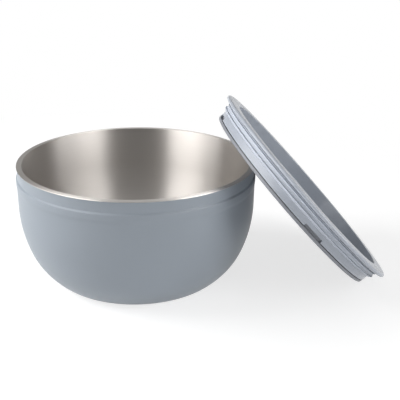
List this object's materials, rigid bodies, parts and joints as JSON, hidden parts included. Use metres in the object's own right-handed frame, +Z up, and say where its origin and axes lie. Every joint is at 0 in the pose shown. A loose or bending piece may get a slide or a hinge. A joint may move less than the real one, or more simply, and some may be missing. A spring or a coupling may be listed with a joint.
{
  "type": "insulated bowl with lid",
  "caption": "Low round double-wall steel bowl, coated outside with a raised bead and a bare brushed rim and inside, with its dished plug lid and soft seal leaning on the rim.",
  "frame": {"origin": "centre of the underside, on the surface that the bowl stands on", "axes": "+Z up along the bowl's axis, +X towards the side where the lid leans on the rim, +Y across it, away from the picture's viewer"},
  "size_m": [0.3311, 0.214, 0.1617],
  "materials": {
    "brushed_liner": "brushed round the bowl's axis",
    "powder_coat": "pale blue-grey powder coat with a fine dry texture",
    "plain_steel": "plain rolled sheet",
    "solder_glass": "dark fused solder glass",
    "getter_metal": "dull sintered filling in a ring",
    "brushed_cover": "brushed round its centre",
    "lid_plastic": "satin moulded plastic in the body's blue-grey",
    "seal_silicone": "matt silicone, a little paler",
    "lid_foam": "closed-cell foam",
    "plate_plastic": "fine-grained moulded plastic, greyer than the lid"
  },
  "bodies": {
    "bowl": {"inner_shell": "brushed_liner", "outer_shell": "powder_coat", "sealing_disc": "plain_steel", "port_seal": "solder_glass", "getter": "getter_metal", "base_cover": "brushed_cover"},
    "lid": {"lid_top": "lid_plastic", "lid_seal": "seal_silicone", "lid_insulation": "lid_foam", "lid_base": "plate_plastic"}
  },
  "joints": [
    {"name": "lid_lift", "type": "slide", "parent": "bowl", "child": "lid", "axis": [0, 0, 1], "range_m": [0, 0.15]}
  ]
}
